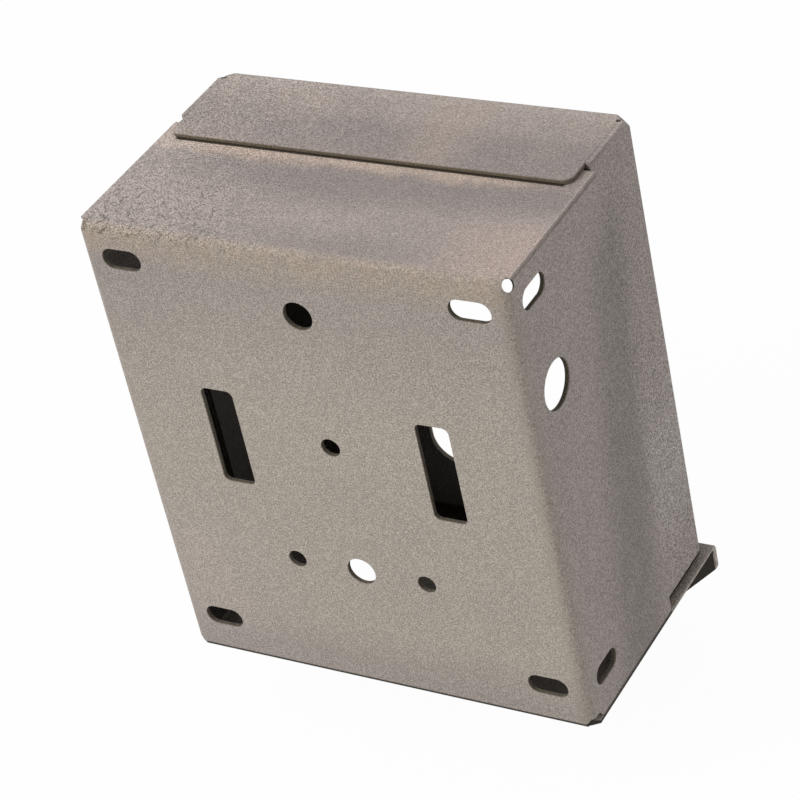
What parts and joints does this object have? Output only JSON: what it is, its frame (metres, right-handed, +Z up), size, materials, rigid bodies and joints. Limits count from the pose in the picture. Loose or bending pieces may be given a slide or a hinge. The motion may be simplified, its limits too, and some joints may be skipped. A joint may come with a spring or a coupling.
{
  "type": "security camera housing",
  "caption": "Folded sheet-steel guard box for an outdoor camera: slotted rear shell, front cover with stepped window and padlock lip.",
  "frame": {"origin": "on the back face, at the centre of the four corner mounting slots", "axes": "+Y out of the back face towards the wall or post, -Y towards the front and its window, +Z up, +X to the right of someone facing the front"},
  "size_m": [0.132, 0.0858, 0.1833],
  "materials": {
    "shell_coat": "matt textured powder coat, taupe with soft darker spray",
    "cover_coat": "matt textured powder coat, taupe with soft darker spray"
  },
  "bodies": {
    "shell": {"rear_shell": "shell_coat"},
    "cover": {"front_cover": "cover_coat"}
  },
  "joints": [
    {"name": "cover_pull", "type": "slide", "parent": "shell", "child": "cover", "axis": [0, -1, 0], "range_m": [0, 0.025]}
  ]
}
